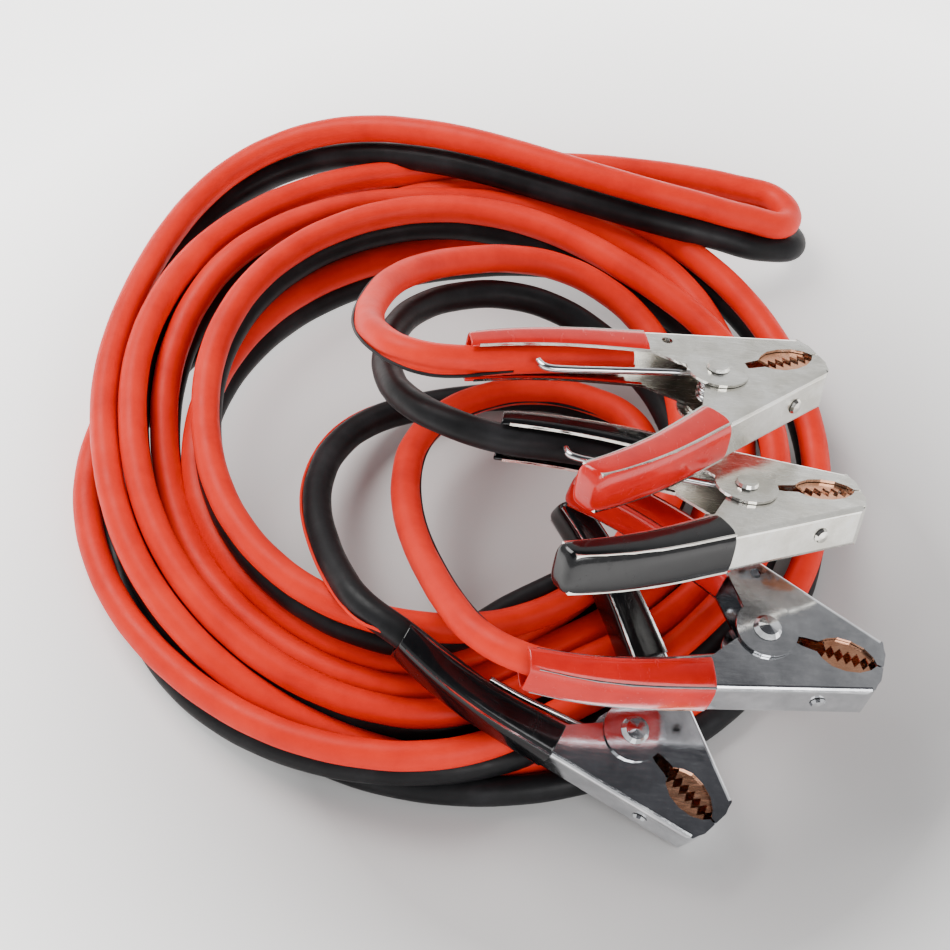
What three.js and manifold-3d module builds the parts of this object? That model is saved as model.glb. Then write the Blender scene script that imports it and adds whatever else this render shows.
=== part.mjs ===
import * as THREE from "three";
import { mergeVertices } from "three/addons/utils/BufferGeometryUtils.js";
import Module from "manifold-3d";

const wasm = await Module();
wasm.setup();
const rad = THREE.MathUtils.degToRad;

// Clearance left between pieces that rest on each other, mm.
const GAP = 0.3;

// Cable: two insulated conductors side by side.
const CORD_D = 13;
const CORD_SIDES = 10;

// Coil of the cable, in the clamps' own layout frame.
const COIL_X = -13.8;
const COIL_Y = -3;
const BORE_R = 100;
const TURN_PITCH = 14.2;
const TURN_TOPS = [27, 27, 27, 26.2, 26.2];

// Room that the lowest clamp takes over the coil, in that clamp's own frame.
const SADDLE = { below: 12.7, halfWidth: 52, from: -125, to: 75, above: 60 };

// Clamp stamping: a bent steel channel, its flat back turned outward.
const SHEET = 1.2;
const HALF_W = 9.4;
const BACK_ANGLE = rad(19);
const BACK_DIST = 28.5;
const EDGE_R = 2.2;
const GRIP_FRONT = -26;
const BEND_START = -48;
const HANDLE_END = -100;
const HANDLE_BEND = 7;
const HANDLE_STATIONS = [-100, -88, -76, -62, -48];
const DEPTH_AT_GRIP = 15.5;
const DEPTH_AT_END = 10.5;
const NOSE_X = 51.5;
const SEAM = 0.4;
const HANDLE_HOLE_R = 2.4;

// Pivot.
const PIVOT_R = 3.1;
const PIVOT_HOLE_R = 3.4;
const EAR_R = 9.5;
const DISC_R = 13.5;
const DISC_LIFT = SHEET + GAP;
const RIVET_HEAD_R = 6.2;
const RIVET_TAIL_R = 5;

// Copper jaws and the rivets that hold them.
const COPPER = 1;
const JAW_TIP_X = 49.2;
const TOOTH_PITCH = 3.8;
const TEETH = 6;
const TOOTH_TOP = 3.4;
const JAW_RIVET_S = 20.5;
const JAW_RIVET_R = 1.6;
const JAW_RIVET_HOLE_R = 1.9;

// Torsion spring.
const WIRE_R = 1.1;
const SPRING_R = 4.65;
const SPRING_TURNS = 3.5;
const SPRING_HALF = 5;

// Vinyl grips.
const GRIP_WALL = 1.1;
const GRIP_OUT = GAP + GRIP_WALL;
const GRIP_EDGE = 2.2;
const GRIP_END = -104;

const PAINT = {
  steel: { color: 0xc9ccd0, roughness: 0.22, metalness: 1 },
  copper: { color: 0xb4603a, roughness: 0.32, metalness: 1 },
  spring: { color: 0xaeb2b8, roughness: 0.25, metalness: 1 },
  red: { color: 0xc5201c, roughness: 0.4, metalness: 0 },
  black: { color: 0x191a1c, roughness: 0.42, metalness: 0 },
};

// Where each clamp lies: pivot centre (mm), then heading, nose-down pitch and roll (degrees).
// side +1: the cable enters the +Y handle; side -1: the -Y handle.
const CLAMPS = [
  { name: "clamp1", colour: "red", side: 1, at: [99.8, -33.4, 114], turn: [24.3, 17.8, -14.8] },
  { name: "clamp2", colour: "black", side: 1, at: [109.6, -86, 104.7], turn: [8.2, 15, -21.9] },
  { name: "clamp3", colour: "red", side: -1, at: [118.4, -126.8, 64.3], turn: [-13.2, 12.8, -3.5] },
  { name: "clamp4", colour: "black", side: -1, at: [64.3, -151.2, 31], turn: [-45.2, 21, 0] },
];

const root = new THREE.Group();
const layout = new THREE.Group();
root.add(layout);

function solid(geometry) {
  const bare = geometry.clone();
  bare.deleteAttribute("normal");
  bare.deleteAttribute("uv");
  const merged = mergeVertices(bare, 1e-4);
  return new wasm.Manifold(
    new wasm.Mesh({
      numProp: 3,
      vertProperties: merged.attributes.position.array,
      triVerts: new Uint32Array(merged.index.array),
    }),
  );
}

function surface(body) {
  const made = body.getMesh();
  const geometry = new THREE.BufferGeometry();
  geometry.setAttribute("position", new THREE.BufferAttribute(made.vertProperties, 3));
  geometry.setIndex(new THREE.BufferAttribute(made.triVerts, 1));
  const flat = geometry.toNonIndexed();
  flat.computeVertexNormals();
  return flat;
}

function piece(parent, name, geometry, paint) {
  const mesh = new THREE.Mesh(geometry, new THREE.MeshStandardMaterial(PAINT[paint]));
  mesh.name = name;
  parent.add(mesh);
  return mesh;
}

// A prism over a side-view outline, from z0 to z1.
function prism(points, z0, z1, edge = 0) {
  const shape = new THREE.Shape(points.map(([x, y]) => new THREE.Vector2(x, y)));
  const geometry = new THREE.ExtrudeGeometry(shape, {
    depth: z1 - z0 - 2 * edge,
    bevelEnabled: edge > 0,
    bevelThickness: edge,
    bevelSize: edge,
    bevelOffset: -edge,
    bevelSegments: 2,
  });
  geometry.translate(0, 0, z0 + edge);
  return solid(geometry);
}

function disc(r, z0, z1, sides = 24) {
  const geometry = new THREE.CylinderGeometry(r, r, z1 - z0, sides);
  geometry.rotateX(Math.PI / 2);
  geometry.translate(0, 0, (z0 + z1) / 2);
  return solid(geometry);
}

// Side view of a stamping: s runs along its back toward the jaws, q inward from the back.
const OUT = [Math.sin(BACK_ANGLE), Math.cos(BACK_ANGLE)];
const ALONG = [Math.cos(BACK_ANGLE), -Math.sin(BACK_ANGLE)];

function back(s, q) {
  const d = BACK_DIST - q;
  return [d * OUT[0] + s * ALONG[0], d * OUT[1] + s * ALONG[1]];
}

// How far the handle leans inward at s, and how deep its flanges are there.
function lean(s) {
  const f = Math.max(0, (BEND_START - s) / (BEND_START - HANDLE_END));
  return HANDLE_BEND * f * f;
}

function depth(s) {
  const f = (s - HANDLE_END) / (GRIP_FRONT - HANDLE_END);
  return THREE.MathUtils.lerp(DEPTH_AT_END, DEPTH_AT_GRIP, f);
}

// Frame of the flat back: x along it, y outward, z across.
function backFrame(s) {
  const [x, y] = back(s, 0);
  return new THREE.Matrix4()
    .makeBasis(
      new THREE.Vector3(ALONG[0], ALONG[1], 0),
      new THREE.Vector3(OUT[0], OUT[1], 0),
      new THREE.Vector3(0, 0, 1),
    )
    .setPosition(x, y, 0);
}

const NOSE_OUTER = [back(43, 1), [50.3, 9.4], [NOSE_X, 6.5], [NOSE_X, SEAM]];
const NOSE_INNER = [[NOSE_X - SHEET, SEAM], [NOSE_X - SHEET, 6.2], [49.1, 8.9], back(42.2, 1 + SHEET)];
const JAW_WINDOW = [[48.6, SEAM], [46.5, 3.2], [42, 6.2], [36, 7.6], [30, 7.3], [25.5, 5.2], [22.5, 2.6]];
const JAW_NOTCH = [[16, 2.2], [10.6, 0.9]];

const backOuter = [...HANDLE_STATIONS.map((s) => back(s, lean(s))), back(40, 0), ...NOSE_OUTER];
const backInner = [
  ...NOSE_INNER,
  back(39.6, SHEET),
  ...HANDLE_STATIONS.map((s) => back(s, lean(s) + SHEET)).reverse(),
];
const flangeInner = [
  ...JAW_WINDOW,
  ...JAW_NOTCH,
  [0, 0.5],
  [-9, 5],
  back(GRIP_FRONT, DEPTH_AT_GRIP),
  ...HANDLE_STATIONS.map((s) => back(s, lean(s) + depth(s))).reverse(),
];

// One stamping: a plain flange at -z and a flange with a raised round ear at +z.
function stamping() {
  const inside = HALF_W - SHEET;
  const flange = [...backOuter, ...flangeInner];
  const plate = prism([...backOuter, ...backInner], -HALF_W, HALF_W);
  const plain = prism(flange, -HALF_W, -inside).add(disc(EAR_R, -HALF_W, -inside));
  const clear = EAR_R + 0.9;
  const ring = disc(DISC_R, inside, HALF_W + DISC_LIFT).subtract(disc(clear, 0, 20));
  const raised = prism(flange, inside, HALF_W)
    .subtract(disc(clear, 0, 20))
    .add(prism(flange, inside, HALF_W + DISC_LIFT).intersect(ring))
    .add(disc(DISC_R, HALF_W + GAP, HALF_W + DISC_LIFT));
  let body = plate.add(plain).add(raised).subtract(disc(PIVOT_HOLE_R, -20, 20, 16));

  const corner = new THREE.Shape();
  corner.moveTo(-1, -1);
  corner.lineTo(EDGE_R, -1);
  corner.lineTo(EDGE_R, 0);
  corner.absarc(EDGE_R, EDGE_R, EDGE_R, -Math.PI / 2, -Math.PI, true);
  corner.lineTo(-1, EDGE_R);
  const run = new THREE.ExtrudeGeometry(corner, { depth: 42 - GRIP_FRONT, bevelEnabled: false, curveSegments: 2 });
  for (const side of [1, -1]) {
    const place = new THREE.Matrix4().makeBasis(
      new THREE.Vector3(-OUT[0], -OUT[1], 0),
      new THREE.Vector3(0, 0, -side),
      new THREE.Vector3(ALONG[0], ALONG[1], 0).multiplyScalar(side),
    );
    const [x, y] = back(side > 0 ? GRIP_FRONT : 42, 0);
    place.setPosition(x, y, side * HALF_W);
    body = body.subtract(solid(run.clone().applyMatrix4(place)));
  }

  const bore = new THREE.CylinderGeometry(JAW_RIVET_HOLE_R, JAW_RIVET_HOLE_R, 6, 10);
  body = body.subtract(solid(bore.applyMatrix4(backFrame(JAW_RIVET_S))));
  const [hx, hy] = back(-17, 7);
  return body.subtract(disc(HANDLE_HOLE_R, 0, 20, 12).translate([hx, hy, 0]));
}

// Copper jaw: a bent strip with toothed edges.
function copperJaw() {
  const half = HALF_W - SHEET - GAP;
  const wall = [back(8, SHEET + GAP), back(39.5, SHEET + GAP), [JAW_TIP_X, 7.4], [JAW_TIP_X, SEAM]];
  for (let i = 0; i < TEETH; i += 1) {
    wall.push([JAW_TIP_X - TOOTH_PITCH * (i + 0.5), TOOTH_TOP]);
    wall.push([JAW_TIP_X - TOOTH_PITCH * (i + 1), SEAM]);
  }
  wall.push([24.4, 5.6], back(8, 8));
  const inner = SHEET + GAP + COPPER;
  const strip = [back(8, SHEET + GAP), back(39.5, SHEET + GAP), back(39.5, inner), back(8, inner)];
  const bore = new THREE.CylinderGeometry(JAW_RIVET_HOLE_R, JAW_RIVET_HOLE_R, 12, 10);
  return prism(strip, -half, half)
    .add(prism(wall, half - COPPER, half))
    .add(prism(wall, -half, -half + COPPER))
    .subtract(solid(bore.applyMatrix4(backFrame(JAW_RIVET_S))));
}

function turned(profile, segments) {
  const points = profile.map(([r, y]) => new THREE.Vector2(r, y));
  return new THREE.LatheGeometry(points, segments);
}

function jawRivet() {
  const tail = -(SHEET + COPPER + 2 * GAP);
  const body = turned(
    [
      [0, tail - 1],
      [2.7, tail - 1],
      [2.7, tail],
      [JAW_RIVET_R, tail],
      [JAW_RIVET_R, GAP],
      [3.5, GAP],
      [2.8, GAP + 1.3],
      [0, GAP + 1.8],
    ],
    10,
  );
  return body.applyMatrix4(backFrame(JAW_RIVET_S));
}

function pivotRivet() {
  const face = HALF_W + DISC_LIFT + GAP;
  const body = turned(
    [
      [0, -face - 1.4],
      [RIVET_TAIL_R - 0.6, -face - 1.4],
      [RIVET_TAIL_R, -face],
      [PIVOT_R, -face],
      [PIVOT_R, face],
      [RIVET_HEAD_R, face],
      [RIVET_HEAD_R - 1.6, face + 1.9],
      [0, face + 2.6],
    ],
    16,
  );
  return body.rotateX(Math.PI / 2);
}

// A round wire or cord swept along points, one step for each gap between stations.
function swept(points, radius, sides, steps, closed = 0.5) {
  const curve = new THREE.CatmullRomCurve3(
    points.map((p) => new THREE.Vector3(...p)),
    false,
    "centripetal",
    closed,
  );
  const section = new THREE.Shape();
  for (let i = 0; i < sides; i += 1) {
    const a = (2 * Math.PI * i) / sides;
    const x = radius * Math.cos(a);
    const y = radius * Math.sin(a);
    if (i) section.lineTo(x, y);
    else section.moveTo(x, y);
  }
  return new THREE.ExtrudeGeometry(section, { extrudePath: curve, steps, bevelEnabled: false, curveSegments: 1 });
}

function springCoil() {
  const points = [];
  const n = Math.round(SPRING_TURNS * 8);
  for (let i = 0; i <= n; i += 1) {
    const a = -Math.PI / 2 + (2 * Math.PI * SPRING_TURNS * i) / n;
    points.push([SPRING_R * Math.cos(a), SPRING_R * Math.sin(a), -SPRING_HALF + (2 * SPRING_HALF * i) / n]);
  }
  const z = SPRING_HALF;
  points.push([-9, 7.6, z], [-24, 14, z], [-46, 24, z], [-66, 32.5, z], [-70, 34.6, z], [-73, 33.5, z], [-74, 30.5, z]);
  return swept(points, WIRE_R, 5, 46);
}

function springLeg() {
  const z = -SPRING_HALF;
  const [ax, ay] = back(-24, 12.5);
  const [bx, by] = back(-44, 6);
  const [cx, cy] = back(-62, 4.2 + lean(-62));
  return swept([[-0.8, -SPRING_R, z], [-8, -9, z], [ax, -ay, z], [bx, -by, z], [cx, -cy, z]], WIRE_R, 5, 7);
}

// Sleeve on a handle. The free handle's is closed like a boot; the other is open for the cable.
function grip(open) {
  const stations = [...HANDLE_STATIONS, GRIP_FRONT];
  const outer = [GRIP_END, ...stations].map((s) => back(s, lean(s) - GRIP_OUT));
  const cover = (s) => lean(s) + depth(s) + GRIP_OUT;
  const inner = [GRIP_END, ...stations].map((s) => back(s, cover(s))).reverse();
  const half = HALF_W + GRIP_OUT;
  const body = prism([...outer, ...inner], -half, half, GRIP_EDGE);
  const front = GRIP_FRONT + 12;
  const hollowOuter = [...stations, front].map((s) => back(s, lean(s) - GAP));
  const reach = (s) => (open ? 40 : lean(s) + depth(s) + GAP);
  const hollowInner = [...stations, front].map((s) => back(s, reach(s))).reverse();
  const end = open ? HANDLE_END - 20 : HANDLE_END - GAP;
  hollowOuter.unshift(back(end, lean(end) - GAP));
  hollowInner.push(back(end, reach(end)));
  return body.subtract(prism([...hollowOuter, ...hollowInner], -HALF_W - GAP, HALF_W + GAP));
}

const STAMPING = surface(stamping());
const JAW = surface(copperJaw());
const GRIP_OPEN = surface(grip(true));
const GRIP_CLOSED = surface(grip(false));

function buildClamp({ name, colour, side, at, turn }) {
  const clamp = new THREE.Group();
  clamp.position.set(...at);
  clamp.rotation.set(rad(turn[2]), rad(turn[1]), rad(turn[0]), "ZYX");
  layout.add(clamp);
  const fixed = new THREE.Group();
  const moving = new THREE.Group();
  (side > 0 ? moving : fixed).rotation.x = Math.PI;
  clamp.add(fixed, moving);
  for (const [group, role] of [[fixed, "cable"], [moving, "moving"]]) {
    piece(group, `${name}_${role}_stamping`, STAMPING.clone(), "steel");
    piece(group, `${name}_${role}_jaw`, JAW.clone(), "copper");
    piece(group, `${name}_${role}_rivet`, jawRivet(), "steel");
    piece(group, `${name}_${role}_grip`, (role === "cable" ? GRIP_OPEN : GRIP_CLOSED).clone(), colour);
  }
  const middle = new THREE.Group();
  if (side < 0) middle.rotation.x = Math.PI;
  clamp.add(middle);
  piece(middle, `${name}_spring`, springCoil(), "spring");
  piece(middle, `${name}_spring_leg`, springLeg(), "spring");
  const pivot = piece(clamp, `${name}_pivot`, pivotRivet(), "steel");
  if (side > 0) pivot.rotation.x = Math.PI;
  return { clamp, fixed };
}

function boxOf(groups) {
  layout.updateMatrixWorld(true);
  const box = new THREE.Box3();
  groups.forEach((group) => box.expandByObject(group, true));
  return box;
}

// Points of the cable inside its handle, from the jaws outward, in the layout frame.
function cableInHandle(fixed) {
  layout.updateMatrixWorld(true);
  return [-32, -50, -68, -86, -104, -116].map((s) => {
    const slack = s > -40 ? 0 : 1.3;
    const [x, y] = back(s, lean(s) + SHEET + GAP + CORD_D / 2 + slack);
    const p = layout.worldToLocal(fixed.localToWorld(new THREE.Vector3(x, y, 0)));
    return [p.x, p.y, p.z];
  });
}

const clamps = CLAMPS.map(buildClamp);

// The lowest clamp's nose rests on the floor, and the clamps' middle is the part's origin.
const lowest = clamps[3].clamp;
lowest.position.z -= boxOf([lowest]).min.z;
const box = boxOf(clamps.map(({ clamp }) => clamp));
const seats = clamps.map(({ fixed }) => cableInHandle(fixed));
layout.position.set(-(box.min.x + box.max.x) / 2, -(box.min.y + box.max.y) / 2, 0);

// Single leads from each handle back into the coil.
const LEADS = [
  {
    name: "cable_lead_1",
    colour: "red",
    steps: 13,
    route: [[-30, -32, 137], [-44, -10, 124], [-45, 16, 106], [-33, 50, 86], [2, 76, 64], [39, 85, 48], [92, 57, 33.8]],
  },
  {
    name: "cable_lead_2",
    colour: "black",
    steps: 13,
    route: [[-16, -50, 117], [-33, -30, 106], [-39, -1, 90], [-33, 36, 72], [-9, 61, 56], [30, 68, 44], [80, 33, 34]],
  },
  {
    name: "cable_lead_3",
    colour: "red",
    steps: 13,
    route: [[8, -145, 88], [-11, -114, 74], [-29, -59, 52], [-29, -11, 36], [-11, 19, 26], [25, 34, 21.5], [77.6, 13, 21]],
  },
  {
    name: "cable_lead_4",
    colour: "black",
    steps: 13,
    route: [[-42, -117, 65], [-61, -80, 50], [-71, -30, 32], [-57, 14, 16], [-21, 35, 7], [21, 40, 6.9], [52, 37, 6.9], [74, 28, 6.9]],
  },
];
LEADS.forEach(({ name, colour, steps, route }, i) => {
  piece(layout, name, swept([...seats[i], ...route], CORD_D / 2, CORD_SIDES, steps), colour);
});

// Coil: one turned solid, each turn showing as a round back on its top. It lies lower under one clamp.
function coil() {
  const profile = [];
  const r = (TURN_PITCH - 0.2) / 2;
  TURN_TOPS.forEach((top, i) => {
    const mid = BORE_R + TURN_PITCH * (i + 0.5);
    for (const a of [180, 135, 90, 45, 0]) {
      profile.push([mid + r * Math.cos(rad(a)), top - r + r * Math.sin(rad(a))]);
    }
  });
  const outer = profile[profile.length - 1][0];
  const ringProfile = [[profile[0][0], 0], ...profile, [outer, 0], [profile[0][0], 0]].reverse();
  const ring = turned(ringProfile, 44).rotateX(Math.PI / 2).translate(COIL_X, COIL_Y, 0);
  const { below, halfWidth, from, to, above } = SADDLE;
  const saddle = new THREE.BoxGeometry(to - from, 2 * halfWidth, above + below);
  saddle.translate((from + to) / 2, 0, (above - below) / 2);
  lowest.updateMatrix();
  return surface(solid(ring).subtract(solid(saddle.applyMatrix4(lowest.matrix))));
}

piece(layout, "cable_coil", coil(), "red");

// Hairpin of the twin cable that stands out of the coil.
const HAIRPIN_STEPS = 14;
const HAIRPIN = [
  [-161.7, 99.9, 20],
  [-151, 125, 20],
  [-117, 174, 22],
  [-66, 190.5, 31],
  [-12, 170, 47.5],
  [40, 143, 51],
  [83, 125.5, 51],
  [121, 123, 39],
  [148, 124.5, 25.5],
  [160, 134, 20.2],
  [151, 146, 20],
  [128, 154, 20],
  [100, 161.5, 20],
  [73, 165.3, 20],
  [49.5, 168.3, 20],
];
const BLACK_BELOW = [0, -5.5, -12.9];
const blackHairpin = HAIRPIN.map((p) => p.map((v, i) => v + BLACK_BELOW[i]));
piece(layout, "cable_hairpin_red", swept(HAIRPIN, CORD_D / 2, CORD_SIDES, HAIRPIN_STEPS), "red");
piece(layout, "cable_hairpin_black", swept(blackHairpin, CORD_D / 2, CORD_SIDES, HAIRPIN_STEPS), "black");

export default root;
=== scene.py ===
import math

import bmesh
import bpy
from mathutils import Matrix, Vector


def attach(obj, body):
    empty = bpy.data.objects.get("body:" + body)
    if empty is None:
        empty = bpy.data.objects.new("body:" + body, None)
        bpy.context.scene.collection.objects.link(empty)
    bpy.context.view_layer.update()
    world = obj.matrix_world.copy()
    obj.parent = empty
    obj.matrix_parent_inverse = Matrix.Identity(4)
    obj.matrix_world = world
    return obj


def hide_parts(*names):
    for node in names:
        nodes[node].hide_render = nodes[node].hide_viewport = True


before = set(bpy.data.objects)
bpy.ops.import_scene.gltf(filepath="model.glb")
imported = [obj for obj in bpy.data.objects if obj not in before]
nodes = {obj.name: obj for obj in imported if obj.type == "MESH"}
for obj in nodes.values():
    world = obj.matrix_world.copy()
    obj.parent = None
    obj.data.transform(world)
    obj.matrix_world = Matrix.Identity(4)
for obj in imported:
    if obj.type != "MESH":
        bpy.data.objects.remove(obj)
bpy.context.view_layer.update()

MM = 0.001

# The layout's origin in the part's frame, in mm.
LAYOUT = Vector((-67.156, 97.568, 0.0))

CORD_D = 13.0
COIL_CENTRE = Vector((-13.8, -3.0, 0.0))
# Height of a cable's centre when it lies on the floor.
LOWEST = CORD_D / 2 + 0.1


def place(point):
    return (Vector(point) + LAYOUT) * MM


# Camera: 56 degrees above the floor, looking along +Y.
CAMERA_AT = Vector((-0.067156, -0.629382, 1.077750))
CAMERA_TILT = math.radians(34)
camera_data = bpy.data.cameras.new("camera")
camera_data.sensor_width = 36
camera_data.lens = 107.05
camera_data.clip_end = 20
camera = bpy.data.objects.new("camera", camera_data)
camera.location = CAMERA_AT
camera.rotation_euler = (CAMERA_TILT, 0, 0)
bpy.context.collection.objects.link(camera)
bpy.context.scene.camera = camera

# Coil stations: azimuth in degrees from +X, one list for each way round.
# Each turn gives its red conductor's radius and height in mm, and how far the pair
# leans, in degrees: 0 has the black straight below, + has it outward.
STATIONS = [0, 45, 90, 135, 180, 225, 270, 298, 330]
INNER_TOP = {
    "r": [108, 122, 125, 121, 107, 105, 106, 101, 105],
    "z": [36, 45, 45, 45, 44, 45, 44, 32, 40],
    "lean": [0, 0, 0, 0, 0, 0, 0, -78, -10],
}
OUTER_LOW = {
    "r": [148, 163, 155, 147, 163, 161, 160, 139, 150],
    "z": [38, 24, 20, 10, 10, 19.5, 31, 18, 31],
    "lean": [10, 0, -5, -72, -74, 0, 0, 32, 5],
}
TO_HAIRPIN = {
    "r": [168.5, None, None, None, 153, 148, 151, 158.5, 170],
    "z": [20, None, None, None, 32, 26, 8, 6.6, 19.5],
    "lean": [0, None, None, None, 0, 0, 80, 88, 8],
}
FROM_HAIRPIN = {
    "r": [None, None, 169, 162, 140, 135, 137, 123, 136],
    "z": [None, None, 20, 29, 36, 30, 24, 21, 22],
    "lean": [None, None, -8, 0, 0, 0, 0, 0, 0],
}
MIDDLE_LOW = {
    "r": [135, 149, 142, 146, 127, 122, 123, 110, 120],
    "z": [20, 22, 29, 32, 19.5, 19.5, 19.5, 19.5, 19.5],
    "lean": [0, 0, 0, 0, 0, 0, 0, 0, 0],
}
INNER_LOW = {
    "r": [124, 137, 121, 117, 114, 109, 110, 97, 95],
    "z": [20, 25, 19, 19.5, 19.5, 19.5, 19.5, 19.5, 19.5],
    "lean": [0, 0, -8, -5, 0, 0, 0, 0, 0],
}
STEP = 22.5


def stations(turn, order, lap):
    """(azimuth along the way, r, z, lean) of a turn's stations in travel order."""
    found = []
    for i in order:
        if turn["r"][i] is None:
            continue
        found.append((lap(STATIONS[i]), turn["r"][i], turn["z"][i], turn["lean"][i]))
    return found


def hermite(rows, u):
    """Smooth value of each column at u, through rows sorted by their first column."""
    for i in range(len(rows) - 1):
        if rows[i][0] <= u <= rows[i + 1][0]:
            break
    a, b = rows[i], rows[i + 1]
    before = rows[i - 1] if i else a
    after = rows[i + 2] if i + 2 < len(rows) else b
    t = (u - a[0]) / (b[0] - a[0])
    values = []
    for k in range(1, len(a)):
        slope_a = (b[k] - before[k]) / (b[0] - before[0]) * (b[0] - a[0])
        slope_b = (after[k] - a[k]) / (after[0] - a[0]) * (b[0] - a[0])
        values.append(
            (2 * t**3 - 3 * t**2 + 1) * a[k]
            + (t**3 - 2 * t**2 + t) * slope_a
            + (3 * t**2 - 2 * t**3) * b[k]
            + (t**3 - t**2) * slope_b
        )
    return values


def pair_at(azimuth, r, z, lean):
    """Red and black centres of the twin cable at one azimuth of the coil."""
    a = math.radians(azimuth)
    out = Vector((math.cos(a), math.sin(a), 0))
    red = COIL_CENTRE + out * r + Vector((0, 0, z))
    leaning = math.radians(lean)
    drop = Vector((0, 0, -1)) * math.cos(leaning) + out * math.sin(leaning)
    black = red + drop * CORD_D
    black.z = max(black.z, LOWEST)
    return red, black


def wound(rows, start, end, sign):
    """Red and black points from start to end, in degrees along the way."""
    red, black = [], []
    count = round((end - start) / STEP)
    for i in range(count + 1):
        u = start + (end - start) * i / count
        r, z, lean = hermite(rows, u)
        here = pair_at(sign * u, r, z, lean)
        red.append(here[0])
        black.append(here[1])
    return red, black


# The way in: from leads 1 and 2, clockwise, three turns to the hairpin.
IN_END = 360 * 2 + 200
CLOCKWISE = [0, 8, 7, 6, 5, 4, 3, 2, 1]
rows_in = []
for lap, turn in enumerate([INNER_TOP, OUTER_LOW, TO_HAIRPIN]):
    rows_in += stations(turn, CLOCKWISE, lambda az, lap=lap: 360 * lap + (-az) % 360)
rows_in.append((IN_END, 163.5, 28, 0))
red_in, black_in = wound(rows_in, 0, IN_END, -1)

# The way out: from the hairpin, counter-clockwise, to leads 3 and 4.
OUT_START = 90
OUT_END = 360 * 3
COUNTER = [0, 1, 2, 3, 4, 5, 6, 7, 8]
rows_out = []
for lap, turn in enumerate([FROM_HAIRPIN, MIDDLE_LOW, INNER_LOW]):
    rows_out += stations(turn, COUNTER, lambda az, lap=lap: 360 * lap + az)
rows_out.append((OUT_END, 94, 20, 0))
red_out, black_out = wound(rows_out, OUT_START, OUT_END, 1)

# Hairpin of the twin cable that stands out of the coil, mm.
HAIRPIN = [
    [-146, 126, 21],
    [-113, 169, 22],
    [-66, 182.5, 31],
    [-12, 164, 47],
    [40, 142, 51],
    [83, 125.5, 51],
    [121, 123, 39],
    [148, 124.5, 25.5],
    [160, 134, 20.2],
    [151, 146, 20],
    [128, 154, 20],
    [100, 161.5, 20],
    [73, 165.3, 20],
    [49.5, 168.3, 20],
]
BLACK_BELOW = Vector((0, -5.5, -12.9))
hairpin_red = [Vector(p) for p in HAIRPIN]
hairpin_black = [p + BLACK_BELOW for p in hairpin_red]

# Each lead's points in mm, from inside its handle to the coil.
LEADS = {
    1: {
        "seat": [[65.4, -17.3, 114], [48.1, -20.2, 118.2], [30.7, -22.9, 122.3], [13.6, -27.1, 127],
                 [-3.2, -32.9, 132.2], [-14.3, -37.6, 136]],
        "free": [[-30, -32, 137], [-44, -10, 124], [-45, 16, 106], [-33, 50, 86], [2, 76, 64],
                 [39, 85, 48], [72, 67, 39], [89, 37, 35]],
    },
    2: {
        "seat": [[80.3, -62.3, 100.1], [62.5, -60.5, 102.9], [44.8, -58.5, 105.6], [27, -58, 109.1],
                 [8.9, -58.9, 113.2], [-3.2, -60.4, 116.4]],
        "free": [[-16, -50, 117], [-33, -30, 106], [-39, -1, 90], [-33, 36, 72], [-9, 61, 56],
                 [30, 68, 44], [67, 45, 34], [87, 18, 27]],
    },
    3: {
        "seat": [[89.6, -150.6, 71.3], [72.1, -151.2, 75.4], [54.5, -152.1, 79.6], [36.8, -151.4, 83.7],
                 [18.9, -148.9, 87.9], [6.9, -146.4, 90.7]],
        "free": [[8, -145, 88], [-11, -114, 74], [-29, -59, 52], [-29, -11, 36], [-11, 19, 26],
                 [25, 34, 21.5], [60, 26, 20], [77.6, 13, 20]],
    },
    4: {
        "seat": [[27.6, -156.6, 35.7], [12.9, -148.3, 41.9], [-2, -140.2, 48.2], [-16.1, -130.7, 54.6],
                 [-29.5, -119.7, 61.2], [-38, -111.5, 65.7]],
        "free": [[-42, -117, 65], [-61, -80, 50], [-71, -30, 32], [-57, 14, 16], [-21, 35, 7],
                 [21, 40, 6.9], [52, 35, 6.9], [74, 20, 6.9]],
    },
}


# Steps in mm in which a way is drawn before and while its kinks are eased out.
FINE_STEP = 2
EVEN_STEP = 3


def eased(points, spacing, rounds):
    """The same way, with even spacing and its small kinks eased out, its ends kept."""
    fine = []
    for i in range(len(points) - 1):
        before = points[max(i - 1, 0)]
        after = points[min(i + 2, len(points) - 1)]
        a, b = points[i], points[i + 1]
        parts = max(2, round((b - a).length / FINE_STEP))
        for k in range(parts):
            t = k / parts
            fine.append(
                a * (1 + t * t * (2 * t - 3))
                + b * (t * t * (3 - 2 * t))
                + (b - before) * 0.5 * (t - 2 * t * t + t**3)
                + (after - a) * 0.5 * (t**3 - t * t)
            )
    fine.append(points[-1])
    even = spaced(fine, EVEN_STEP)
    for _ in range(rounds):
        even = (
            [even[0]]
            + [(even[i - 1] + even[i] * 2 + even[i + 1]) / 4 for i in range(1, len(even) - 1)]
            + [even[-1]]
        )
    return spaced(even, spacing)


def spaced(line, spacing):
    """Points about that far apart along a line, with both its ends."""
    total = sum((b - a).length for a, b in zip(line, line[1:]))
    step = total / max(1, round(total / spacing))
    found, run, target = [line[0]], 0.0, step
    for a, b in zip(line, line[1:]):
        part = (b - a).length
        while part and run + part >= target - 1e-9 and target < total - step / 2:
            found.append(a.lerp(b, (target - run) / part))
            target += step
        run += part
    found.append(line[-1])
    return found


POINT_SPACING = 24
EASING = 40


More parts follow.
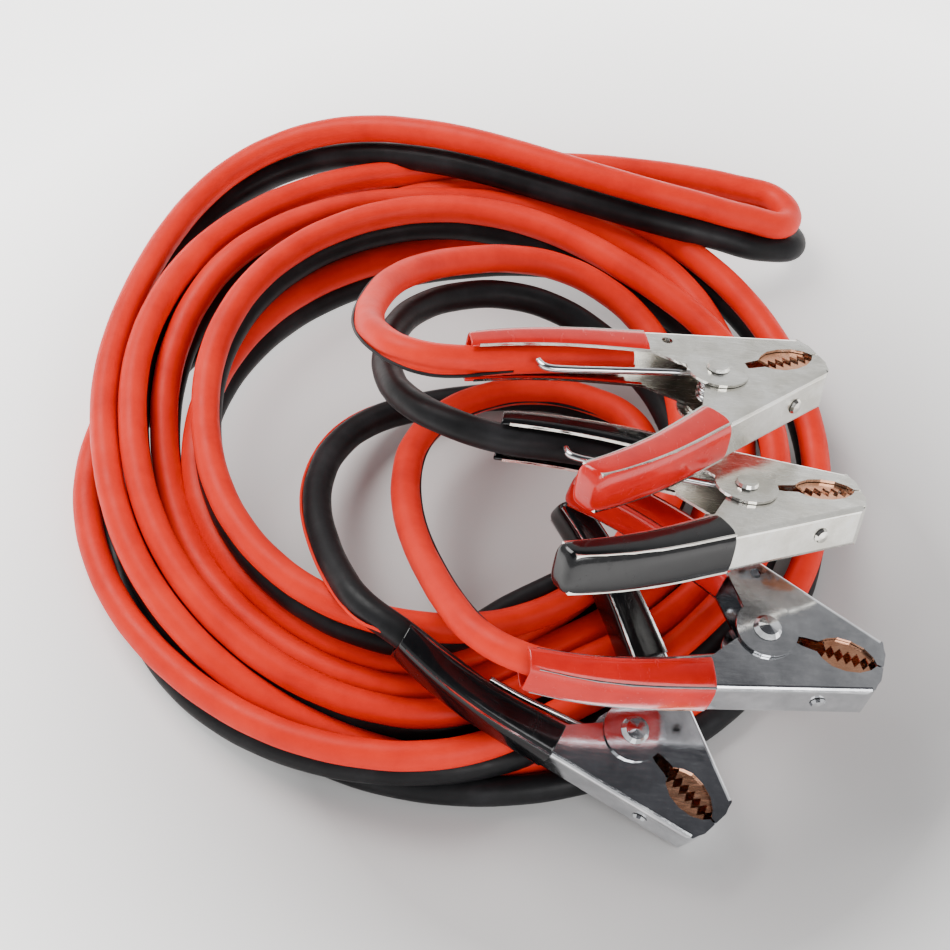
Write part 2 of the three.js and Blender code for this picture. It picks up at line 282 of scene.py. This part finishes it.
def route(first, coil_in, hairpin, coil_out, last):
    """One conductor's whole way, in metres, from inside one handle to inside the other."""
    points = [Vector(p) for p in LEADS[first]["seat"][:-1] + LEADS[first]["free"]]
    points += coil_in + hairpin + coil_out
    ending = [Vector(p) for p in LEADS[last]["seat"][:-1] + LEADS[last]["free"]]
    points += reversed(ending)
    line = eased(points, POINT_SPACING, EASING)
    return [place((p.x, p.y, max(p.z, LOWEST))) for p in line]


def smooth_tube(name, points, radius, rings, roundness=6):
    """A round cable along points, as a curve of one open spline."""
    data = bpy.data.curves.new(name, "CURVE")
    data.dimensions = "3D"
    data.resolution_u = rings
    data.bevel_depth = radius
    data.bevel_resolution = roundness
    data.use_fill_caps = True
    spline = data.splines.new("BEZIER")
    spline.bezier_points.add(len(points) - 1)
    for knot, p in zip(spline.bezier_points, points):
        knot.co = p
        knot.handle_left_type = "AUTO"
        knot.handle_right_type = "AUTO"
    piece = bpy.data.objects.new(name, data)
    bpy.context.collection.objects.link(piece)
    return piece


red_way = route(1, red_in, hairpin_red, red_out, 3)
black_way = route(2, black_in, hairpin_black, black_out, 4)


def node_tree(name):
    """A new material with its shader and its two handles on the tree."""
    made = bpy.data.materials.new(name)
    made.use_nodes = True
    tree = made.node_tree
    return made, tree, tree.nodes["Principled BSDF"]


def object_noise(tree, scale, detail=4, roughness=0.5, stretch=None):
    """Noise in object coordinates, with its socket for use by other nodes."""
    where = tree.nodes.new("ShaderNodeTexCoord")
    source = where.outputs["Object"]
    if stretch:
        mapping = tree.nodes.new("ShaderNodeMapping")
        mapping.inputs["Scale"].default_value = stretch
        tree.links.new(source, mapping.inputs["Vector"])
        source = mapping.outputs["Vector"]
    noise = tree.nodes.new("ShaderNodeTexNoise")
    noise.inputs["Scale"].default_value = scale
    noise.inputs["Detail"].default_value = detail
    noise.inputs["Roughness"].default_value = roughness
    tree.links.new(source, noise.inputs["Vector"])
    return noise.outputs["Fac"]


def ramp(tree, fac, stops):
    """A colour ramp through (place, colour) stops."""
    made = tree.nodes.new("ShaderNodeValToRGB")
    elements = made.color_ramp.elements
    while len(elements) < len(stops):
        elements.new(0.5)
    for element, (at, colour) in zip(elements, stops):
        element.position = at
        element.color = (*colour, 1) if len(colour) == 3 else colour
    tree.links.new(fac, made.inputs["Fac"])
    return made.outputs["Color"]


def spread(tree, fac, low, high, out_low, out_high):
    """fac's range low to high, mapped on out_low to out_high."""
    made = tree.nodes.new("ShaderNodeMapRange")
    made.inputs["From Min"].default_value = low
    made.inputs["From Max"].default_value = high
    made.inputs["To Min"].default_value = out_low
    made.inputs["To Max"].default_value = out_high
    tree.links.new(fac, made.inputs["Value"])
    return made.outputs["Result"]


def bump(tree, shader, height, distance, strength=1.0):
    made = tree.nodes.new("ShaderNodeBump")
    made.inputs["Distance"].default_value = distance
    made.inputs["Strength"].default_value = strength
    tree.links.new(height, made.inputs["Height"])
    tree.links.new(made.outputs["Normal"], shader.inputs["Normal"])


def cable_material(name, dark, mid, light, rough):
    """Satin cable insulation: faint mottling, rub marks and a fine uneven surface."""
    made, tree, shader = node_tree(name)
    colour = ramp(tree, object_noise(tree, 38, 6, 0.6), [(0.3, dark), (0.5, mid), (0.72, light)])
    tree.links.new(colour, shader.inputs["Base Color"])
    rubbed = spread(tree, object_noise(tree, 120, 5, 0.65), 0.3, 0.7, rough - 0.07, rough + 0.1)
    tree.links.new(rubbed, shader.inputs["Roughness"])
    shader.inputs["Specular IOR Level"].default_value = 0.17
    bump(tree, shader, object_noise(tree, 420, 3, 0.6), 0.00012, 0.5)
    return made


def vinyl_material(name, dark, light, rough, coat):
    """Dipped vinyl: glossy, slightly wavy, with scuffs."""
    made, tree, shader = node_tree(name)
    colour = ramp(tree, object_noise(tree, 60, 5, 0.6), [(0.35, dark), (0.65, light)])
    tree.links.new(colour, shader.inputs["Base Color"])
    scuffs = object_noise(tree, 300, 4, 0.7, (1, 0.25, 1))
    tree.links.new(spread(tree, scuffs, 0.5, 0.75, rough, rough + 0.22), shader.inputs["Roughness"])
    shader.inputs["Specular IOR Level"].default_value = 0.3
    shader.inputs["Coat Weight"].default_value = coat
    shader.inputs["Coat Roughness"].default_value = 0.08
    bump(tree, shader, object_noise(tree, 45, 2, 0.5), 0.0012, 0.35)
    return made


def plated_material(name, dark, light, rough_low, rough_high):
    """Plated sheet steel: cloudy tone, fine scratches one way and slight ripple."""
    made, tree, shader = node_tree(name)
    shader.inputs["Metallic"].default_value = 1.0
    clouds = object_noise(tree, 70, 6, 0.6)
    tree.links.new(ramp(tree, clouds, [(0.35, dark), (0.65, light)]), shader.inputs["Base Color"])
    scratches = object_noise(tree, 90, 8, 0.75, (1, 9, 3))
    tree.links.new(
        spread(tree, scratches, 0.35, 0.75, rough_low, rough_high), shader.inputs["Roughness"]
    )
    bump(tree, shader, object_noise(tree, 28, 3, 0.5), 0.0006, 0.25)
    return made


RED_CABLE = cable_material(
    "red_cable_pvc", (0.66, 0.014, 0.004), (0.78, 0.020, 0.006), (0.86, 0.032, 0.012), 0.46,
)
BLACK_CABLE = cable_material(
    "black_cable_pvc", (0.005, 0.005, 0.0055), (0.010, 0.010, 0.011), (0.022, 0.022, 0.024), 0.42,
)
RED_VINYL = vinyl_material(
    "red_vinyl_dip", (0.55, 0.006, 0.005), (0.66, 0.012, 0.009), 0.16, 0.25,
)
BLACK_VINYL = vinyl_material(
    "black_vinyl_dip", (0.003, 0.003, 0.0035), (0.007, 0.007, 0.008), 0.13, 0.15,
)
BRIGHT_STEEL = plated_material(
    "bright_plated_steel", (0.62, 0.60, 0.54), (0.80, 0.79, 0.75), 0.16, 0.34,
)
MIRROR_STEEL = plated_material(
    "mirror_plated_steel", (0.55, 0.56, 0.58), (0.78, 0.79, 0.81), 0.06, 0.24,
)
SPRING_STEEL = plated_material(
    "spring_plated_steel", (0.55, 0.55, 0.56), (0.72, 0.72, 0.73), 0.12, 0.25,
)
COPPER = plated_material("copper_plate", (0.62, 0.26, 0.14), (0.86, 0.45, 0.28), 0.18, 0.38)


def wear(obj, material):
    obj.data.materials.clear()
    obj.data.materials.append(material)


# The two conductors, whole, each from one handle to another.
def conductor(name, way, replaced, material):
    piece = smooth_tube(name, way, CORD_D / 2 * MM, 10)
    wear(piece, material)
    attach(piece, "cable_set")
    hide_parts(*replaced)


conductor(
    "red_conductor", red_way,
    ["cable_lead_1", "cable_lead_3", "cable_coil", "cable_hairpin_red"], RED_CABLE,
)
conductor(
    "black_conductor", black_way,
    ["cable_lead_2", "cable_lead_4", "cable_hairpin_black"], BLACK_CABLE,
)

# Rib of torn web along each single lead: left or right of its way out, mm.
RIB_R = 0.75
RIB_OUT = 0.2
RIB_SPACING = 12


def rib(number, material, left):
    lead = LEADS[number]
    way = eased([Vector(p) for p in lead["seat"][-3:] + lead["free"][:-1]], RIB_SPACING, EASING // 2)
    line = []
    for i, p in enumerate(way):
        along = way[min(i + 1, len(way) - 1)] - way[max(i - 1, 0)]
        side = Vector((-along.y, along.x, 0)).normalized() * (1 if left else -1)
        line.append(place(p + side * (CORD_D / 2 + RIB_R * RIB_OUT)))
    piece = smooth_tube(f"lead_{number}_web_rib", line, RIB_R * MM, 6, 2)
    wear(piece, material)
    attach(piece, "cable_set")


rib(1, BLACK_CABLE, True)
rib(3, BLACK_CABLE, False)
rib(4, RED_CABLE, True)

# Where each clamp lies: pivot centre in mm, then heading, nose-down pitch and roll in degrees.
CLAMPS = {
    1: {"colour": "red", "side": 1, "at": [99.8, -33.4, 114], "turn": [24.3, 17.8, -14.8]},
    2: {"colour": "black", "side": 1, "at": [109.6, -86, 104.7], "turn": [8.2, 15, -21.9]},
    3: {"colour": "red", "side": -1, "at": [118.4, -126.8, 64.3], "turn": [-13.2, 12.8, -3.5]},
    4: {"colour": "black", "side": -1, "at": [64.3, -151.2, 27.232], "turn": [-45.2, 21, 0]},
}
BACK_ANGLE = math.radians(19)
BACK_DIST = 28.5
HANDLE_BEND = 7
BEND_START = -48
HANDLE_END = -100
GRIP_FRONT = -26
DEPTH_AT_GRIP = 15.5
DEPTH_AT_END = 10.5
HALF_W = 9.4
GRIP_OUT = 1.4


def back(s, q):
    d = BACK_DIST - q
    return (
        d * math.sin(BACK_ANGLE) + s * math.cos(BACK_ANGLE),
        d * math.cos(BACK_ANGLE) - s * math.sin(BACK_ANGLE),
    )


def lean(s):
    return HANDLE_BEND * max(0, (BEND_START - s) / (BEND_START - HANDLE_END)) ** 2


def depth(s):
    f = (s - HANDLE_END) / (GRIP_FRONT - HANDLE_END)
    return DEPTH_AT_END + (DEPTH_AT_GRIP - DEPTH_AT_END) * f


def half_frame(number, moving):
    """Places a clamp half's own millimetres in the part's frame."""
    clamp = CLAMPS[number]
    heading, pitch, roll = (math.radians(a) for a in clamp["turn"])
    turn = (
        Matrix.Rotation(heading, 4, "Z")
        @ Matrix.Rotation(pitch, 4, "Y")
        @ Matrix.Rotation(roll, 4, "X")
    )
    if moving == (clamp["side"] > 0):
        turn = turn @ Matrix.Rotation(math.pi, 4, "X")
    return Matrix.Translation(place(clamp["at"])) @ turn @ Matrix.Scale(MM, 4)


def superellipse(angle, exponent):
    c, k = math.cos(angle), math.sin(angle)
    return (
        math.copysign(abs(c) ** (2 / exponent), c),
        math.copysign(abs(k) ** (2 / exponent), k),
    )


def mesh_piece(name, vertices, faces):
    data = bpy.data.meshes.new(name)
    data.from_pydata([tuple(v) for v in vertices], [], faces)
    for face in data.polygons:
        face.use_smooth = True
    piece = bpy.data.objects.new(name, data)
    bpy.context.collection.objects.link(piece)
    return piece


def subdivided(piece, levels):
    smooth = piece.modifiers.new("smooth", "SUBSURF")
    smooth.levels = smooth.render_levels = levels


# Vinyl grips: a sleeve lofted through rounded sections along the handle.
GRIP_WALL = 1.7
GRIP_EXPONENT = 3.5
AROUND = 28
# Sections: place along the handle in mm and size. The open sleeve covers this half angle.
SLEEVE_ROWS = [(-26, 1), (-26.6, 1.01), (-30, 1), (-39, 1), (-48, 1), (-62, 1), (-76, 1), (-88, 1)]
CLOSED_END = [(-96, 0.99), (-100.2, 0.95), (-102.2, 0.8), (-103, 0.45)]
OPEN_END = [(-98, 0.99), (-102.8, 0.97), (-103.8, 0.95)]
OPEN_HALF_ANGLE = math.radians(138)


def grip_sleeve(number, moving):
    """The free handle's sleeve closes in a rounded end; the other wraps handle and cable."""
    frame_here = half_frame(number, moving)
    if moving:
        rows = SLEEVE_ROWS + CLOSED_END
        first, last = 0, 2 * math.pi
    else:
        rows = SLEEVE_ROWS + OPEN_END
        first, last = -OPEN_HALF_ANGLE, OPEN_HALF_ANGLE
    count = AROUND if moving else AROUND + 1
    half = HALF_W + GRIP_OUT
    vertices, faces = [], []
    for s, size in rows:
        outer = lean(s) - GRIP_OUT
        inner = lean(s) + depth(s) + GRIP_OUT
        middle, reach = (outer + inner) / 2, (inner - outer) / 2
        for i in range(count):
            angle = first + (last - first) * i / AROUND
            c, k = superellipse(angle, GRIP_EXPONENT)
            x, y = back(s, middle - reach * size * c)
            vertices.append(frame_here @ Vector((x, y, half * size * k)))
    for row in range(len(rows) - 1):
        for i in range(AROUND):
            a = row * count + i
            b = row * count + (i + 1) % count
            faces.append((a, b, b + count, a + count))
    if moving:
        end = (len(rows) - 1) * count
        faces.append(tuple(end + i for i in range(count)))
    role = "moving" if moving else "cable"
    piece = mesh_piece(f"clamp{number}_{role}_sleeve", vertices, faces)
    inside = piece.modifiers.new("wall", "SOLIDIFY")
    inside.thickness = GRIP_WALL * MM
    inside.offset = -1
    subdivided(piece, 2)
    bm = bmesh.new()
    bm.from_mesh(piece.data)
    bmesh.ops.recalc_face_normals(bm, faces=bm.faces)
    bm.to_mesh(piece.data)
    bm.free()
    red = CLAMPS[number]["colour"] == "red"
    wear(piece, RED_VINYL if red else BLACK_VINYL)
    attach(piece, f"clamp{number}_moving_jaw" if moving else "cable_set")
    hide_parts(f"clamp{number}_{role}_grip")


for number in CLAMPS:
    grip_sleeve(number, True)
    grip_sleeve(number, False)


# Torsion springs: a close coil round the pivot and two legs.
WIRE_R = 1.55
SPRING_R = 5.3
SPRING_TURNS = 3.5
SPRING_HALF = 5.4
POINTS_PER_TURN = 12


def spring(number):
    """A clamp's coil with its hooked or plain leg, and the other leg on the free handle."""
    side = CLAMPS[number]["side"]
    here = half_frame(number, side > 0)
    if side > 0:
        here = here @ Matrix.Rotation(math.pi, 4, "X")
    coil = []
    count = round(SPRING_TURNS * POINTS_PER_TURN)
    for i in range(count + 1):
        a = -math.pi / 2 + 2 * math.pi * SPRING_TURNS * i / count
        along = SPRING_HALF * (2 * i / count - 1)
        coil.append((SPRING_R * math.cos(a), SPRING_R * math.sin(a), along))
    z = SPRING_HALF
    if side > 0:
        coil += [(-9, 7, z), (-24, 11.4, z), (-46, 18, z), (-62, 23, z)]
        coil += [(-66, 24.6, z), (-68.4, 26.6, z), (-69, 29, z), (-69, 31, z)]
    else:
        coil += [(-9, 8, z), (-24, 14.4, z), (-42, 23, z - 1), (-56, 29, z - 3)]
    leg = [(-0.8, -SPRING_R, -z), (-8, -9, -z)]
    for s, q in ((-24, 12.5), (-44, 6.4), (-62, 4.8 + lean(-62))):
        x, y = back(s, q)
        leg.append((x, -y, -z))
    for name, points, body in (
        ("spring", coil, "cable_set"),
        ("spring_leg", leg, f"clamp{number}_moving_jaw"),
    ):
        line = [here @ Vector(p) for p in points]
        piece = smooth_tube(f"clamp{number}_{name}_wire", line, WIRE_R * MM, 8, 4)
        wear(piece, SPRING_STEEL)
        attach(piece, body)
        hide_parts(f"clamp{number}_{name}")


for number in CLAMPS:
    spring(number)


# Rounding of the CAD nodes' edges, mm and degrees.
EDGE_WIDTH = 0.3
EDGE_ANGLE = 38
FLAT_ANGLE = 1.5


def finish_edges(node):
    """Rounds a CAD node's edges without touching its mesh."""
    for face in node.data.polygons:
        face.use_smooth = True
    flat = node.modifiers.new("flat", "DECIMATE")
    flat.decimate_type = "DISSOLVE"
    flat.angle_limit = math.radians(FLAT_ANGLE)
    edge = node.modifiers.new("edge", "BEVEL")
    edge.width = EDGE_WIDTH * MM
    edge.segments = 2
    edge.limit_method = "ANGLE"
    edge.angle_limit = math.radians(EDGE_ANGLE)
    edge.harden_normals = True
    edge.use_clamp_overlap = True


# Finish of the CAD nodes that stay.
for name, node in nodes.items():
    if not name.startswith("clamp"):
        continue
    number = int(name[5])
    if name.endswith("_grip") or "spring" in name:
        continue
    finish_edges(node)
    if name.endswith("_jaw"):
        wear(node, COPPER)
    else:
        wear(node, BRIGHT_STEEL if number in (1, 2) else MIRROR_STEEL)

# Floor, light and surroundings.
floor_mesh = bpy.data.meshes.new("floor")
FLOOR_HALF = 4
corners = [(-1, -1), (1, -1), (1, 1), (-1, 1)]
floor_mesh.from_pydata([(FLOOR_HALF * x, FLOOR_HALF * y, 0) for x, y in corners], [], [(0, 1, 2, 3)])
floor = bpy.data.objects.new("floor", floor_mesh)
bpy.context.collection.objects.link(floor)
# The floor's material paints light on it: a glow that rises away from the part, leaving painted shade
# near the part.
floor_material, floor_tree, floor_shader = node_tree("floor_with_painted_light")
floor_tone = ramp(
    floor_tree, object_noise(floor_tree, 3, 2),
    [(0.3, (0.62, 0.61, 0.605)), (0.7, (0.65, 0.64, 0.635))],
)
floor_tree.links.new(floor_tone, floor_shader.inputs["Base Color"])
floor_shader.inputs["Roughness"].default_value = 0.65
# Warm colour of the floor's painted glow.
floor_shader.inputs["Emission Color"].default_value = (1.0, 0.985, 0.97, 1)
# Painted light: the floor's emission rises from nothing within 0.15 m of its origin to 2.6 at 0.40 m,
# so the floor brightens away from the part and stays darker round and inside the coil as painted shade.
floor_place = floor_tree.nodes.new("ShaderNodeTexCoord")
floor_distance = floor_tree.nodes.new("ShaderNodeVectorMath")
floor_distance.operation = "LENGTH"
floor_tree.links.new(floor_place.outputs["Object"], floor_distance.inputs[0])
floor_painted_light = spread(floor_tree, floor_distance.outputs["Value"], 0.15, 0.40, 0.0, 2.6)
floor_tree.links.new(floor_painted_light, floor_shader.inputs["Emission Strength"])
floor_mesh.materials.append(floor_material)


def softbox(name, at, aim, size, power, colour=(1, 1, 1)):
    light = bpy.data.lights.new(name, "AREA")
    light.shape = "SQUARE"
    light.size = size
    light.energy = power
    light.color = colour
    holder = bpy.data.objects.new(name, light)
    holder.location = at
    holder.rotation_euler = (Vector(aim) - Vector(at)).to_track_quat("-Z", "Y").to_euler()
    bpy.context.collection.objects.link(holder)


MIDDLE = (-0.06, 0.1, 0.02)
softbox("key", (-0.9, 1.0, 1.5), MIDDLE, 1.0, 40, (1.0, 0.99, 0.97))
softbox("fill", (0.7, -1.2, 1.2), MIDDLE, 1.0, 20)

world = bpy.data.worlds.new("studio")
world.use_nodes = True
bpy.context.scene.world = world
world_tree = world.node_tree
direction = world_tree.nodes.new("ShaderNodeTexCoord")
split = world_tree.nodes.new("ShaderNodeSeparateXYZ")
world_tree.links.new(direction.outputs["Generated"], split.inputs["Vector"])
sky = ramp(
    world_tree, split.outputs["Z"],
    [(0.0, (0.9, 0.9, 0.9)), (0.52, (1.0, 1.0, 1.0)), (0.62, (0.75, 0.75, 0.75)),
     (0.74, (0.10, 0.10, 0.11)), (1.0, (0.06, 0.06, 0.065))],
)
background = world_tree.nodes["Background"]
world_tree.links.new(sky, background.inputs["Color"])
background.inputs["Strength"].default_value = 1.0
